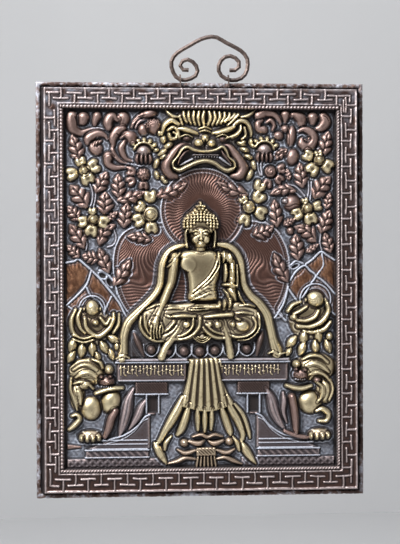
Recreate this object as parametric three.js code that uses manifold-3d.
// A hanging plaque of worked copper sheet, in millimetres, +Z up, its front facing -Y.
// The origin is the middle of the flat back. All relief is laid out in plate coordinates, x to the
// right, y up and height towards the viewer, and is turned upright at the end.
import * as THREE from 'three';
import { ParametricGeometry } from 'three/addons/geometries/ParametricGeometry.js';
import { mergeVertices } from 'three/addons/utils/BufferGeometryUtils.js';
import Module from 'manifold-3d';

const wasm = await Module();
wasm.setup();

// The two sheets
const SHEET = 1.2;
const GAP = 0.3;
const FLANGE = { halfWidth: 119.4, halfHeight: 150.9 };
const BACK = { halfWidth: 120.9, halfHeight: 152.4 };
const FOLD_WIDTH = 3.2;

// The front's walls and its flat border
const WALL_FOOT = { halfWidth: 117, halfHeight: 148.5 };
const FACE = { halfWidth: 114.9, halfHeight: 147.2 };
const FACE_HEIGHT = 13.5;
const LINE_WIDTH = 1.5;
const CHANNEL_DEPTH = 0.9;
const INNER_LINE = { halfWidth: 104.4, halfHeight: 135.4 };
const FIELD = { halfWidth: 99.6, halfHeight: 130.6 };
const GROUND = 8.5;
const ROLL = { radius: 1.5, halfWidth: 101.4, halfHeight: 132.6, height: 12.6 };

// The fret: stems stand alternately on the outer and the inner line, each with a crossbar
const FRET = { stem: 6.4, crossbar: 10.4, bar: 1.7 };
const FRET_RUNS = [
  { side: 'top', from: 'outer', first: -102, pitch: 17.55, count: 12 },
  { side: 'top', from: 'inner', first: -92.5, pitch: 17.4, count: 12 },
  { side: 'bottom', from: 'inner', first: -92, pitch: 18.6, count: 11 },
  { side: 'bottom', from: 'outer', first: -101.5, pitch: 18.7, count: 12 },
  { side: 'left', from: 'outer', first: -126.5, pitch: 16.77, count: 16 },
  { side: 'left', from: 'inner', first: -119, pitch: 16.8, count: 15 },
  { side: 'right', from: 'outer', first: -122, pitch: 18.4, count: 15 },
  { side: 'right', from: 'inner', first: -131, pitch: 18.46, count: 15 },
];

const COPPER = { color: 0x6b5148, roughness: 0.5, metalness: 0.8 };
const IRON = { color: 0x4a3d36, roughness: 0.6, metalness: 0.8 };

// A closed geometry's shared vertices are merged, collapsed faces dropped, and its faces made to point out.
function solid(geometry) {
  geometry.deleteAttribute('normal');
  geometry.deleteAttribute('uv');
  const merged = mergeVertices(geometry, 1e-4);
  const vertProperties = new Float32Array(merged.attributes.position.array);
  const triVerts = [];
  const [a, b, c] = [new THREE.Vector3(), new THREE.Vector3(), new THREE.Vector3()];
  let volume = 0;
  for (let i = 0; i < merged.index.count; i += 3) {
    const [p, q, r] = [merged.index.getX(i), merged.index.getX(i + 1), merged.index.getX(i + 2)];
    if (p === q || q === r || r === p) continue;
    triVerts.push(p, q, r);
    a.fromArray(vertProperties, 3 * p);
    b.fromArray(vertProperties, 3 * q);
    c.fromArray(vertProperties, 3 * r);
    volume += a.dot(b.cross(c));
  }
  if (volume < 0) triVerts.reverse();
  const mesh = new wasm.Mesh({ numProp: 3, vertProperties, triVerts: new Uint32Array(triVerts) });
  return new wasm.Manifold(mesh);
}

function joined(solids) {
  let level = solids;
  while (level.length > 1) {
    const next = [];
    for (let i = 0; i < level.length; i += 2) {
      next.push(i + 1 < level.length ? level[i].add(level[i + 1]) : level[i]);
    }
    level = next;
  }
  return level[0];
}

// A box between two heights whose upper rectangle may be smaller than its lower one.
function block(x, y, halfWidth, halfHeight, low, high, taper = 0) {
  const box = new THREE.BoxGeometry(2 * halfWidth, 2 * halfHeight, high - low);
  const place = box.attributes.position;
  for (let i = 0; i < place.count; i++) {
    if (place.getZ(i) < 0) continue;
    place.setX(i, place.getX(i) - Math.sign(place.getX(i)) * taper);
    place.setY(i, place.getY(i) - Math.sign(place.getY(i)) * taper);
  }
  return solid(box.translate(x, y, (low + high) / 2));
}

// A dome on the ground, an ellipse in plan with a shoulder ring below its top.
function boss(x, y, radiusX, radiusY, height, { turn = 0, sides = 6 } = {}) {
  const profile = [[0, 0], [1, 0], [0.74, 0.7 * height], [0, height]];
  const dome = new THREE.LatheGeometry(profile.map(([r, h]) => new THREE.Vector2(r, h)), sides);
  return raised(dome, x, y, radiusX, radiusY, turn);
}

// A small knob or petal on the ground: a low cone, an ellipse in plan.
function stud(x, y, radiusX, radiusY, height, { turn = 0, sides = 5 } = {}) {
  const cone = new THREE.ConeGeometry(1, height, sides).translate(0, height / 2, 0);
  return raised(cone, x, y, radiusX, radiusY, turn);
}

// Leaves longer than this have five lobes, the rest four. A lobe's reach and the notch between two.
const LARGE_LEAF = 17;
const LEAF_LOBES = [1.08, 0.72];

// Turns a form that stands on +Y so that it stands on the ground, with its plan stretched and turned.
function raised(form, x, y, radiusX, radiusY, turn) {
  form.rotateX(Math.PI / 2).scale(radiusX, radiusY, 1);
  return solid(form.rotateZ(THREE.MathUtils.degToRad(turn)).translate(x, y, GROUND));
}

// Sections across a strand, as shares of its half-width and height, from one edge round to its root.
const RIDGE = [[-1, 0], [0, 1], [1, 0]];
const ROUND = [[-1, 0], [-0.45, 1], [0.45, 1], [1, 0]];

// A raised strand along points [x, y, half-width]. Its height follows its width, and its ends are rounded.
const END_REACH = 0.75;
function strand(points, height, { section = RIDGE, steps = Math.max(3, points.length) } = {}) {
  const path = new THREE.CatmullRomCurve3(points.map((p) => new THREE.Vector3(...p)));
  const widest = Math.max(...points.map((p) => p[2]));
  const at = (u, v, target) => {
    const ring = Math.round(v * steps);
    const share = THREE.MathUtils.clamp((ring - 1) / (steps - 2), 0, 1);
    const { x, y, z: halfWidth } = path.getPoint(share);
    const ahead = path.getTangent(share).setZ(0).normalize();
    const [across, up] = section[Math.round(u * section.length) % section.length];
    const end = { 0: -1, [steps]: 1 }[ring] ?? 0;
    const reach = end * END_REACH * halfWidth;
    const side = end ? 0 : across * halfWidth;
    const lift = end ? 0 : up * height * Math.sqrt(halfWidth / widest);
    target.set(x + ahead.x * reach - ahead.y * side, y + ahead.y * reach + ahead.x * side, GROUND + lift);
  };
  return solid(new ParametricGeometry(at, section.length, steps));
}

// A lobed leaf: a low cone, long in plan, whose rim steps in and out. turn is where its tip points.
function leaf(x, y, length, width, turn, height = 3.4) {
  const sides = length > LARGE_LEAF ? 10 : 8;
  const cone = new THREE.ConeGeometry(1, height, sides).translate(0, height / 2, 0);
  const place = cone.attributes.position;
  for (let i = 0; i < place.count; i++) {
    const rim = Math.round((Math.atan2(place.getX(i), place.getZ(i)) / (2 * Math.PI)) * sides);
    const swell = place.getY(i) > 0 ? 1 : LEAF_LOBES[Math.abs(rim) % 2];
    place.setX(i, place.getX(i) * swell);
    place.setZ(i, place.getZ(i) * swell);
  }
  return raised(cone.rotateY(Math.PI / 2), x, y, length / 2, width / 2, turn);
}

// A flower: a round heart and petals of [x, y] around it.
function flower(x, y, radius, petals, petalRadius, height = 3.6) {
  const heart = boss(x, y, radius, radius, height + 1.2);
  const parts = petals.map(([px, py]) => {
    const turn = THREE.MathUtils.radToDeg(Math.atan2(py - y, px - x));
    return stud(px, py, 1.15 * petalRadius, 1.25 * petalRadius, height, { sides: 4, turn });
  });
  return [heart, ...parts];
}

// The mirror of strand points about the upright axis at x = middle.
const mirrored = (points, middle) => points.map(([x, y, w]) => [2 * middle - x, y, w]);

// A flat raised plate whose outline has the given [x, y] corners.
function plate(outline, height) {
  const shape = new THREE.Shape(outline.map(([x, y]) => new THREE.Vector2(x, y)));
  const flat = new THREE.ExtrudeGeometry(shape, { depth: height, bevelEnabled: false });
  return solid(flat.translate(0, 0, GROUND));
}

// The tray: flange, walls, border, sunk field and the rolled moulding round it.
function tray() {
  const foot = SHEET + GAP;
  const rise = FACE_HEIGHT - foot - SHEET;
  const wall = block(0, 0, WALL_FOOT.halfWidth, WALL_FOOT.halfHeight, foot + SHEET - 0.2, FACE_HEIGHT,
    WALL_FOOT.halfWidth - FACE.halfWidth);
  const flange = block(0, 0, FLANGE.halfWidth, FLANGE.halfHeight, foot, foot + SHEET);
  const floor = FACE_HEIGHT - CHANNEL_DEPTH;
  const outerEdge = { halfWidth: FACE.halfWidth - LINE_WIDTH, halfHeight: FACE.halfHeight - LINE_WIDTH };
  const channel = block(0, 0, outerEdge.halfWidth, outerEdge.halfHeight, floor, floor + rise)
    .subtract(block(0, 0, INNER_LINE.halfWidth, INNER_LINE.halfHeight, floor - 1, floor + rise + 1));
  const field = block(0, 0, FIELD.halfWidth, FIELD.halfHeight, GROUND, GROUND + rise);
  const rolls = [-1, 1].flatMap((s) => [
    new THREE.CylinderGeometry(ROLL.radius, ROLL.radius, 2 * ROLL.halfHeight, 8)
      .translate(s * ROLL.halfWidth, 0, ROLL.height),
    new THREE.CylinderGeometry(ROLL.radius, ROLL.radius, 2 * ROLL.halfWidth, 8)
      .rotateZ(Math.PI / 2).translate(0, s * ROLL.halfHeight, ROLL.height),
  ]).map(solid);
  return wall.add(flange).subtract(channel).subtract(field).add(joined(rolls));
}

// One T of the fret, standing on a line and pointing away from it: hammered ridges that run level
// along the stem and fall away to the ends of the crossbar.
function fretTee({ side, from }, along) {
  const upright = side === 'top' || side === 'bottom';
  const sign = side === 'top' || side === 'right' ? 1 : -1;
  const line = from === 'outer' ? FACE : INNER_LINE;
  const start = (upright ? line.halfHeight : line.halfWidth) - (from === 'outer' ? LINE_WIDTH : 0);
  const far = start + (from === 'outer' ? -FRET.stem : FRET.stem);
  const [narrow, wide] = [FRET.bar / 2, FRET.crossbar / 2];
  const under = far + (start > far ? narrow : -narrow);
  const over = 2 * far - under;
  const corners = [[narrow, start], [narrow, under], [wide, under], [wide, over]];
  const outline = [...corners, ...corners.map(([across, out]) => [-across, out]).reverse()];
  const shape = new THREE.Shape(outline.map(([across, out]) => new THREE.Vector2(across, out)));
  const tee = new THREE.ExtrudeGeometry(shape, { depth: CHANNEL_DEPTH, bevelEnabled: false });
  const place = tee.attributes.position;
  for (let i = 0; i < place.count; i++) {
    const crest = place.getZ(i) > CHANNEL_DEPTH / 2;
    const across = crest ? 0 : place.getX(i);
    const out = crest && Math.abs(place.getY(i) - start) > narrow ? far : place.getY(i);
    place.setXY(i, upright ? along + across : sign * out, upright ? sign * out : along + across);
  }
  return solid(tee.translate(0, 0, FACE_HEIGHT - CHANNEL_DEPTH));
}

const fret = () => FRET_RUNS.flatMap((run) => (
  Array.from({ length: run.count }, (_, k) => fretTee(run, run.first + k * run.pitch))
));

const HALO = { x: 1, y: 58, radius: 31.5, sides: 16 };

// The haloes behind the seated figure, and the hills at the foot of the sky.
const halos = () => [
  plate([[-52, -20], [-63, 5], [-64, 24], [-52, 43], [-30, 47], [0, 49], [30, 47], [51, 43], [64, 24],
    [64, 4], [53, -20], [0, -24]], 0.9),
  plate(Array.from({ length: HALO.sides }, (_, k) => {
    const angle = (2 * Math.PI * k) / HALO.sides;
    return [HALO.x + HALO.radius * Math.cos(angle), HALO.y + HALO.radius * Math.sin(angle)];
  }), 1.7),
];

const hills = () => [
  strand([[-90, 22, 0.6], [-90, 9, 6], [-89, -6, 11]], 1.8),
  strand([[-79, 15, 0.6], [-77, 2, 6], [-74, -10, 10]], 1.6),
  strand([[89, 27, 0.6], [91, 13, 6], [90, 0, 9]], 1.8),
  strand([[76, 17, 0.6], [75, 4, 6], [73, -10, 9]], 1.6),
];

// The boughs: leaves of [x, y, length, width, turn], then thin stems.
const LEAVES = [
  [-91.5, 104, 19, 11, 105], [-89, 68.5, 22, 13, 130], [-93, 56, 15, 10, 130], [-90.5, 40, 20, 11, 122],
  [-93, 28, 13, 8, 150], [-81, 24, 12, 9, 160], [-70.5, 21, 20, 9, 112], [-71, 41, 20, 9, 45],
  [-70, 63, 17, 13, 95], [-51, 68, 21, 9, 20], [-56, 54, 18, 11, 85], [-65, 54.5, 9, 6, 35],
  [-73, 78, 18, 10, 60], [-60.5, 76, 18, 10, 95], [-46, 38, 18, 8, 170], [-58, 11.5, 22, 9, 60],
  [-21, 72, 24, 10, 25], [23, 73, 24, 10, 155], [91.5, 107, 19, 11, 75], [88.5, 75.5, 20, 13, 55],
  [93.5, 65, 12, 7, 80], [91.5, 50, 18, 11, 65], [93.5, 34, 16, 9, 110], [82, 30, 12, 5, 30],
  [70.5, 31, 19, 11, 95], [77, 42, 20, 11, 140], [55, 56, 20, 10, 95], [60, 72, 20, 9, 192],
  [73.5, 84, 18, 10, 97], [64, 85, 9, 4.5, 100], [65.5, 49, 10, 6, 20], [46, 43, 17, 10, 30],
  [58, 15, 23, 9, 115],
];
const STEMS = [
  [[-80, 76, 0.8], [-79.5, 66, 1], [-83, 57, 0.8]],
  [[67, 77, 0.8], [74, 70, 1], [78, 66, 1]],
  [[79, 80, 0.8], [79, 73, 1], [78, 66, 1]],
  [[44, 97, 1.2], [43.5, 90, 1], [44.5, 82, 0.5]],
];
const boughs = () => [
  ...LEAVES.map(([x, y, length, width, turn]) => leaf(x, y, length, width, turn)),
  ...STEMS.map((points) => strand(points, 1.6)),
];

// Scrolls in the two upper corners, as strands of [x, y, half-width].
const SCROLLS = [
  [[-94, 126, 4.6], [-95, 119, 4.6], [-89, 114.6, 2.8], [-80, 116.6, 1.8], [-70, 116.4, 0.6]],
  [[-86, 125.5, 4.9], [-87.5, 121.6, 2.6], [-90, 121, 1]],
  [[-76, 126.6, 3.6], [-78, 120.5, 1.2]],
  [[-67, 119.5, 3.6], [-67.6, 124, 4.6], [-63.5, 127, 3], [-57, 125.5, 5], [-54.5, 121.5, 2.6]],
  [[-69.5, 111.5, 1], [-76, 113.4, 4], [-82, 109, 4.2], [-78.6, 104.6, 3], [-76.6, 102, 4]],
  [[-63.6, 106, 3], [-63, 112, 3.8], [-58.5, 117, 3.6]],
  [[-58, 113.5, 1.6], [-53, 112.5, 5], [-50.5, 108.5, 4]],
  [[-66, 108, 0.8], [-64, 99, 2], [-58, 93.4, 1.8], [-48, 91.6, 0.8]],
  [[-57.5, 107, 1.6], [-58, 101, 3.4], [-53, 94.6, 1.2]],
  [[-68, 98, 4.4], [-68.6, 93, 3.6], [-63, 89, 2.4], [-55, 90, 1]],
  [[-50, 119, 1.2], [-46, 123.4, 2.6], [-39, 127, 3], [-32, 127.5, 1]],
  [[43, 127, 3.6], [50, 130, 3], [57, 126.5, 2.6], [58, 121.5, 0.8]],
  [[42, 122, 2.6], [42, 118.5, 3.4], [46, 117.5, 3.4]],
  [[47, 122.6, 1], [51, 123.4, 2.2], [53.4, 117, 1]],
  [[61.5, 127.8, 4], [67, 129, 3], [73, 126.4, 5], [74, 122, 3.6]],
  [[82, 126.5, 4.4], [83.4, 122, 3], [88, 119.4, 3.4], [92.5, 123, 4.6], [90, 127.5, 4]],
  [[74, 116, 1], [79, 117, 3], [83.4, 111, 4.4], [78.4, 105.4, 4], [74.4, 108.8, 3.4]],
  [[65, 119.5, 2], [67.6, 112.6, 3.8], [66, 106, 1.6]],
];
const BALLS = [
  [-34, 119, 6, 4], [-42, 117, 3.6, 3], [62, 118, 3.4, 3], [57, 113.4, 4, 3.4], [67.5, 97.5, 5.4, 3.8],
  [57.5, 99, 5, 2.4], [67, 64, 6.4, 4.2],
];
const scrolls = () => [
  ...SCROLLS.map((points) => strand(points, 3.6, { steps: points.length + 1 })),
  ...BALLS.map(([x, y, radius, height]) => boss(x, y, radius, radius, height)),
];

const flowers = () => [
  ...flower(-85.5, 87, 4.4, [[-79, 90], [-83, 81.5], [-94, 84.5], [-87.4, 93]], 4.2),
  ...flower(87, 96, 4.8, [[79, 98.5], [82.5, 88.5], [93, 91]], 4.2),
  ...flower(-79, 51, 4.4, [[-71.5, 49], [-80.5, 43.5], [-87, 49.5], [-80, 57]], 4.1),
  ...flower(-37.5, 55, 5.6, [[-45, 60.5], [-46, 51], [-38, 45.8], [-37.5, 66.5]], 4.3),
  ...flower(78, 59.5, 4.6, [[71.5, 56], [80.5, 52.5], [86, 61.5], [77, 66]], 4.2),
  ...flower(34.5, 61, 5.4, [[42, 68], [43, 56], [32, 51.5], [30, 68.5]], 4.4),
  ...flower(-42.5, 84.5, 5, [[-51.5, 86.5], [-52, 79.5], [-42, 76.5]], 3.9),
  ...flower(51, 87, 4.6, [[59, 88.5], [57.5, 81], [49, 78]], 4),
];

// The mask, with locks, horns, brows, cheeks, jaw and a claw either side. Its middle is at MASK.x.
const MASK = { x: 2.5, y: 104 };
function mask() {
  const both = (points) => [points, mirrored(points, MASK.x)];
  const locks = Array.from({ length: 7 }, (_, k) => {
    const angle = THREE.MathUtils.degToRad(138 - 16 * k);
    const out = (r) => [MASK.x + 1.5 + r * Math.cos(angle), 111 + 0.72 * r * Math.sin(angle)];
    return strand([[...out(13), 2.2], [...out(26.5), 1.2]], 5.2, { steps: 3 });
  });
  const pairs = [
    ...both([[-14.5, 120, 1.8], [-16, 126, 2.2], [-21, 127, 1.6], [-27, 131, 0.5]]),
    ...both([[-18, 117.4, 2.2], [-10, 118, 2.4], [-1.5, 113.6, 1.8]]),
    ...both([[-8.5, 106.5, 2], [-17, 105.6, 4.6], [-24, 97, 5], [-25.4, 89, 4.6], [-20, 82.5, 2.4]]),
    ...both([[-26, 124, 2], [-27.5, 117, 3], [-25.6, 109, 2.4]]),
  ];
  const knobs = [
    [-28.5, 103, 3.6], [-31.5, 92, 3], [-31, 84.5, 3], [33.5, 116, 3.2],
    [34, 101, 3.6], [37.5, 91, 3], [36, 83.5, 3],
  ];
  return [
    stud(MASK.x, MASK.y + 3, 23, 15, 6.4, { sides: 7 }),
    ...locks,
    ...pairs.map((points) => strand(points, 6.6)),
    stud(-10.5, 110.6, 4.6, 3.4, 8),
    stud(15.5, 110.6, 4.6, 3.4, 8),
    boss(MASK.x, 107.8, 8, 5.4, 8.8, { sides: 5 }),
    strand([[-20, 92, 1.6], [-12, 100, 1.8], [MASK.x, 101.8, 2], [17, 100, 1.8], [24.5, 92, 1.6]], 7),
    strand([[-18, 88, 2], [-8, 92, 2.2], [MASK.x, 94, 2.2], [12, 92, 2.2], [22, 87.4, 2]], 7),
    ...knobs.map(([x, y, radius]) => stud(x, y, radius, radius, 5, { sides: 4 })),
    ...claw(-42, 101, 1),
    ...claw(46.5, 103, -1),
  ];
}

// A clawed fist with a scalloped cuff above it. lean is 1 where the fingers hang inwards to the right.
function claw(x, y, lean) {
  const cuff = Array.from({ length: 4 }, (_, k) => {
    const angle = THREE.MathUtils.degToRad(90 + lean * 20 + 36 * (k - 1.5));
    return stud(x + 8 * Math.cos(angle), y + 7.4 * Math.sin(angle), 3, 3, 4.6, { sides: 4 });
  });
  const fingers = [-3.6, 0, 3.6].map((dx) => stud(x + dx, y - 6.6, 1.9, 3.4, 4, { sides: 4 }));
  return [boss(x, y, 6.2, 5.6, 6), ...cuff, ...fingers];
}

// The seated figure on its lotus. Heights are above the ground.
function seatedFigure() {
  const rightArm = [
    [-23, 26, 5], [-26, 13, 5.2], [-27.4, 1, 4.8], [-31, -12, 4], [-34, -24, 3.4], [-35, -31, 4],
  ];
  const leftSleeve = [[20, 26, 5.6], [22.6, 14, 6.6], [22, 1, 7], [13, -8, 5], [3, -10.5, 3.6]];
  const draped = [
    { points: [[-7, -12.5, 3.2], [7, -12, 3.8], [21, -13, 3.2]], height: 10.6 },
    { points: [[-21, -18.4, 2.2], [-4, -17.6, 2.6], [12, -18.6, 2.6], [24, -19.5, 2]], height: 10.2 },
    { points: [[15, 28, 1.4], [10, 16, 1.9], [3, 7, 1.9], [-6, -1, 1.6], [-11, -5, 1]], height: 10.4 },
    { points: [[0, -25, 2.4], [14, -27, 2.8], [30, -30, 2.8], [44, -26, 1.6]], height: 8 },
    { points: [[-12, -27, 2], [-24, -34.5, 2.6], [-40, -34.5, 2.4]], height: 6.6 },
    { points: [[-14.5, -24, 2.4], [-24, -38, 2.6], [-30, -48, 1.6]], height: 6.4 },
    { points: [[14.5, -28, 2.4], [19, -38, 2.6], [22, -47, 1.6]], height: 6.4 },
  ];
  return [
    boss(-33, -24, 19, 11.5, 8.4, { sides: 8, turn: 8 }),
    boss(30, -25, 18, 11, 8.4, { sides: 8, turn: -8 }),
    boss(0, -21, 28, 11, 9.4, { sides: 8 }),
    boss(-2.5, 6, 14.5, 24, 8.2, { sides: 8 }),
    boss(-1.5, 22, 25, 9.5, 8.6, { sides: 8 }),
    boss(-1, 29.5, 6.4, 4.6, 9),
    boss(-1, 40, 9.4, 11.6, 12, { sides: 10 }),
    boss(-1, 51, 11.6, 9.6, 11.4, { sides: 10 }),
    boss(-1, 59.4, 5.4, 4.6, 9.6),
    ...[-11.6, 9.6].map((x) => strand([[x, 46, 1.6], [x - 0.2, 38, 1.4], [x, 31.5, 1.7]], 8, { steps: 3 })),
    strand(rightArm, 8.6, { section: ROUND }),
    strand(leftSleeve, 9.4, { section: ROUND }),
    ...draped.map(({ points, height }) => strand(points, height)),
  ];
}

// The mantle that frames the figure, falling from the shoulders to flared ends.
const MANTLE = [[-13, 34.5, 1.6], [-24, 31, 2.4], [-31, 14, 2.4], [-35, 0, 2.6], [-48, -17, 2.8],
  [-57, -31, 2.8], [-60, -48, 3]];
const MANTLE_RIGHT = [[12, 35, 1.6], [24, 32, 2.4], [32, 13, 2.4], [37, -1, 2.6], [47, -12, 2.8],
  [53, -34, 2.8], [57, -47, 3]];

function lotus() {
  const petals = [];
  for (let k = 0; k < 9; k++) {
    const x = -46.5 + 11.4 * k;
    petals.push(stud(x, -44.2 + 0.002 * (x + 1) ** 2, 5.6, 6, 5.6));
  }
  for (const x of [-43, -31, 29, 41]) {
    petals.push(stud(x, -36.8, 4.6, 4.4, 5, { sides: 4 }));
  }
  return [stud(0, -35.4, 6, 3.6, 9, { sides: 4 }), ...petals];
}

// Two attendants in robes, each a bald head, a body, folded arms and a spread skirt.
function attendants() {
  const skirts = [
    [-94, -40, 5], [-95, -48.6, 4.4], [-86.6, -43.4, 4.6], [-79.6, -41.6, 4.4], [-71, -41, 4.6],
    [-65, -35.6, 4.2], [-66, -46, 3.6],
    [86, -33, 4.6], [75, -34.4, 4.6], [66.4, -38, 4], [74.4, -43, 4.4], [93, -42, 4], [93, -28, 4.2],
    [84, -41, 4.4],
  ];
  const folds = [
    [[-85, -24, 2.4], [-77, -32, 2.4], [-67, -26, 2.2], [-64, -18.6, 2]],
    [[-94, -31, 2], [-86.6, -34.4, 2.4], [-79, -36.4, 2]],
    [[91, -10, 2], [89, -19, 3], [80, -26, 2.4], [70, -26.4, 1.8]],
    [[80, -15, 2], [76, -21, 2.4], [68, -20.6, 2]],
    [[92, -20, 1.6], [86, -28, 2], [74, -30.4, 1.6]],
  ];
  return [
    stud(-82, -31, 12, 9, 5),
    boss(-80, -13.4, 6, 7, 7.6, { sides: 7 }),
    stud(-78, -24, 4, 3.4, 7),
    stud(81, -31, 12, 9, 5),
    boss(84, -7.4, 8, 7, 7.6, { sides: 7 }),
    ...folds.map((points) => strand(points, 6)),
    ...skirts.map(([x, y, radius]) => stud(x, y, 1.1 * radius, radius, 5.4, { sides: 4 })),
  ];
}

// Two crouching lions that carry the throne on their paws.
function lions() {
  const masses = [
    [-83, -59, 14, 11, 5.4, 8], [-91, -78, 5.4, 10, 4.8, 6], [-68, -58.6, 4.4, 4.4, 6.6, 5],
    [-70.6, -67, 5.6, 4.6, 7, 5], [-80.6, -86, 9, 10, 4.6, 6], [-67, -81, 7.4, 9.6, 6.4, 7],
    [-82, -106.4, 9.6, 4.6, 6, 6], [-92, -96, 6, 6.4, 4, 5],
    [84, -57, 15, 11.4, 5.4, 8], [90.6, -76, 5.6, 8.6, 4.8, 6], [69.6, -56, 4.4, 4.4, 6.6, 5],
    [73, -64, 6.4, 5.4, 7, 6], [80, -82, 9, 10, 4.6, 6], [90, -93, 6.4, 6, 4.4, 5],
    [86, -107, 9, 5, 6, 6],
  ];
  const limbs = [
    [[-77, -75, 2.2], [-67, -71.6, 2.4], [-58, -71, 2.4]],
    [[-66, -84, 3.2], [-67, -96, 3], [-70, -107, 2.6]],
    [[-88, -60, 2.2], [-83, -56.6, 2.4], [-77, -60, 2]],
    [[-92, -66, 1.8], [-85, -68.6, 2], [-80, -74, 1.6]],
    [[62, -70.6, 2.2], [70, -72, 2.6], [78, -71, 2.2]],
    [[65.6, -78, 3.4], [68, -92, 3], [69.6, -106, 2.8]],
    [[78, -57, 2], [83, -54.6, 2.2], [90, -58.6, 2]],
    [[62, -104.4, 2], [71, -107.6, 2.4], [80, -108.6, 2]],
    [[-58, -74, 1.6], [-54, -84, 3.4], [-60, -104, 1.2]],
    [[-47, -74, 1.2], [-45, -86, 2.6], [-53, -102, 1]],
    [[53, -74, 1.2], [50, -84, 2.8], [58, -102, 1]],
    [[60, -77, 1.2], [61, -86, 2.4], [63, -98, 1]],
  ];
  return [
    ...masses.map(([x, y, rx, ry, height, sides]) => boss(x, y, rx, ry, height, { sides })),
    ...limbs.map((points) => strand(points, 5.4)),
  ];
}

// The throne: mouldings, the two panels of the inscription band, boards, the swept foot and steps.
function throne() {
  const slab = (x0, x1, y0, y1, height) => block(
    (x0 + x1) / 2, (y0 + y1) / 2, (x1 - x0) / 2, (y1 - y0) / 2, GROUND, GROUND + height, 0.3);
  const boards = [[52, -68.2, -65.6, 3.2], [47.5, -75.4, -68.2, 2], [34, -90.8, -75.4, 1.2]];
  const swept = [[68, -109], [57, -106], [48, -100], [42, -93], [38, -91], [38, -116.4], [82, -116.4]];
  return [
    slab(-64, -10.5, -52.6, -49.8, 4.6),
    slab(14, 66, -52.6, -49.8, 4.6),
    slab(-62, -10.5, -65.4, -52.8, 4),
    slab(14, 63.6, -65.4, -52.8, 4),
    ...boards.map(([outer, y0, y1, height]) => slab(-outer, -12, y0, y1, height)),
    ...boards.map(([outer, y0, y1, height]) => slab(14, outer, y0, y1, height)),
    plate(swept, 2.2),
    plate(swept.map(([x, y]) => [-x, y]), 2.2),
    slab(-85, -38, -122.4, -116.4, 1.6),
    slab(41, 87, -122.4, -116.4, 1.6),
    slab(-98.4, -26, -129.4, -122.8, 1),
    slab(29, 98.4, -129.4, -122.8, 1),
  ];
}

// The cloth that falls over the throne's middle and parts into two tails, and the vase below it.
function cloth() {
  const folds = [-8.5, -4.6, -0.8, 3, 6.8, 10.6].map((x) => (
    [[x, -48, 1.5], [x + 0.25 * (x - 2), -64, 2], [x + 0.68 * (x - 2), -80, 2.2]]
  ));
  const tails = [
    [[-13, -80, 3.4], [-20, -92, 3.6], [-27, -106, 2.4], [-35, -115, 1.6]],
    [[-9, -84, 2.4], [-14, -98, 3.4], [-18, -104, 2.4]],
    [[17, -80, 3.4], [24, -94, 3.6], [30, -108, 2.4], [35, -114, 1.6]],
    [[13, -84, 2.4], [18, -97, 3.4], [22, -104, 2.4]],
    [[-2, -84, 2.2], [-1, -98, 2.4]],
    [[6, -84, 2.2], [5, -99, 2.4]],
    [[-33, -112, 2], [-31, -119, 3.6], [-27, -127, 1.4]],
    [[33, -112, 2], [34, -119, 3.6], [38, -127, 1.4]],
    [[-20, -106, 1.2], [-9, -108.4, 2], [2, -105.4, 2], [14, -108.4, 2], [26, -106, 1.2]],
    [[2, -112, 1.6], [-4, -114.6, 2.8], [-12, -111.6, 2.6]],
    [[4, -112, 1.6], [10, -114.6, 2.8], [19, -111, 2.6]],
    [[-21, -123, 1.6], [-12, -118.6, 3], [-3, -122, 1.6]],
    [[27, -123, 1.6], [18, -118.6, 3], [9, -122, 1.6]],
  ];
  return [
    ...folds.map((points) => strand(points, 6.4)),
    ...tails.map((points) => strand(points, 5.2)),
    boss(3, -118.5, 6, 3.4, 4.6),
    boss(3, -126, 7, 3.4, 3.4),
  ];
}

function frontSheet() {
  const relief = [
    ...fret(), ...halos(), ...hills(), ...boughs(), ...scrolls(), ...flowers(), ...mask(), ...lotus(),
    ...seatedFigure(), strand(MANTLE, 3.2, { section: ROUND }), strand(MANTLE_RIGHT, 3.2, { section: ROUND }),
    ...attendants(), ...lions(), ...throne(), ...cloth(),
  ];
  return joined([tray(), joined(relief)]);
}

// The back: a flat sheet whose edge turns up round the flange and is hammered down over it.
function backSheet() {
  const lip = SHEET + GAP + SHEET + GAP;
  const outside = block(0, 0, BACK.halfWidth, BACK.halfHeight, 0, lip + SHEET);
  const flangeRoom = block(0, 0, FLANGE.halfWidth + GAP, FLANGE.halfHeight + GAP, SHEET, lip);
  const mouth = block(0, 0, BACK.halfWidth - FOLD_WIDTH, BACK.halfHeight - FOLD_WIDTH, SHEET, lip + 2 * SHEET);
  return outside.subtract(flangeRoom).subtract(mouth);
}

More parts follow.
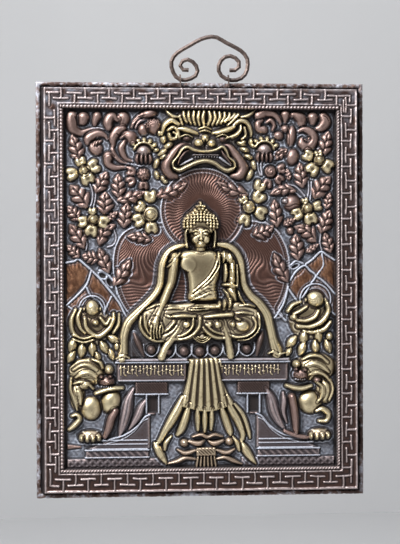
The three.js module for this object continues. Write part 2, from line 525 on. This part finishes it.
// The hanging loop, a forged bar that stands on the fold's top edge and whose ends roll in to two curls.
const LOOP = { diameter: 3.2, height: 2.1, steps: 50, sides: 5 };
const LOOP_PATH = [
  [-8.7, 161.8], [-13.1, 162.1], [-15, 165.8], [-12.4, 168.8], [-8.7, 169.5], [-4.3, 166.6],
  [-2.1, 162.1], [-3.5, 157.7], [-12.8, 154.2], [-18.3, 157], [-21.6, 165.8], [-20.5, 170.3],
  [-17.6, 173.9], [-8, 179.9], [1.6, 185], [10.5, 186.5], [19.3, 182.1], [26, 178.7], [31.2, 175.4],
  [34.8, 170.3], [34.1, 160.7], [30.4, 156.2], [25.2, 154.4], [20.1, 155.1], [15.6, 157.7],
  [13.4, 162.1], [14.2, 167.3], [17.1, 171], [21.6, 172.5], [26, 171], [28.9, 167.3], [28.2, 163.6],
  [25.2, 161.8], [21.6, 161.8],
];

// Two staples hold the loop down: each rises in front of the fold and is bent back over the loop's bar.
const TIE = { diameter: 1.4, steps: 6, sides: 4 };
const TIE_PATH = [[148.9, 5.4], [153.4, 5.4], [156.4, 5.1], [158, 3.4], [157.9, 1.6]];
const TIES = [{ name: 'tie_left', x: -15 }, { name: 'tie_right', x: 20.6 }];

// A bar of round section along a curve of points [x, y, height].
function bar(points, { diameter, steps, sides }) {
  const path = new THREE.CatmullRomCurve3(points.map((p) => new THREE.Vector3(...p)));
  const section = new THREE.Shape(Array.from({ length: sides }, (_, k) => {
    const angle = ((k + 0.5) / sides) * 2 * Math.PI;
    return new THREE.Vector2(Math.cos(angle), Math.sin(angle)).multiplyScalar(diameter / 2);
  }));
  return solid(new THREE.ExtrudeGeometry(section, { steps, extrudePath: path, bevelEnabled: false }));
}

const hangingLoop = () => bar(LOOP_PATH.map(([x, y]) => [x, y, LOOP.height]), LOOP);
const tie = (x) => bar(TIE_PATH.map(([y, height]) => [x, y, height]), TIE);

function upright(manifold, name, look) {
  const { vertProperties, triVerts } = manifold.getMesh();
  const geometry = new THREE.BufferGeometry();
  geometry.setAttribute('position', new THREE.BufferAttribute(vertProperties, 3));
  geometry.setIndex(new THREE.BufferAttribute(triVerts, 1));
  geometry.rotateX(Math.PI / 2);
  geometry.computeVertexNormals();
  const mesh = new THREE.Mesh(geometry, new THREE.MeshStandardMaterial(look));
  mesh.name = name;
  return mesh;
}

const plaque = new THREE.Group();
plaque.add(
  upright(frontSheet(), 'relief_front', COPPER),
  upright(backSheet(), 'back_sheet', COPPER),
  upright(hangingLoop(), 'hanging_loop', IRON),
  ...TIES.map(({ name, x }) => upright(tie(x), name, IRON)),
);
export default plaque;
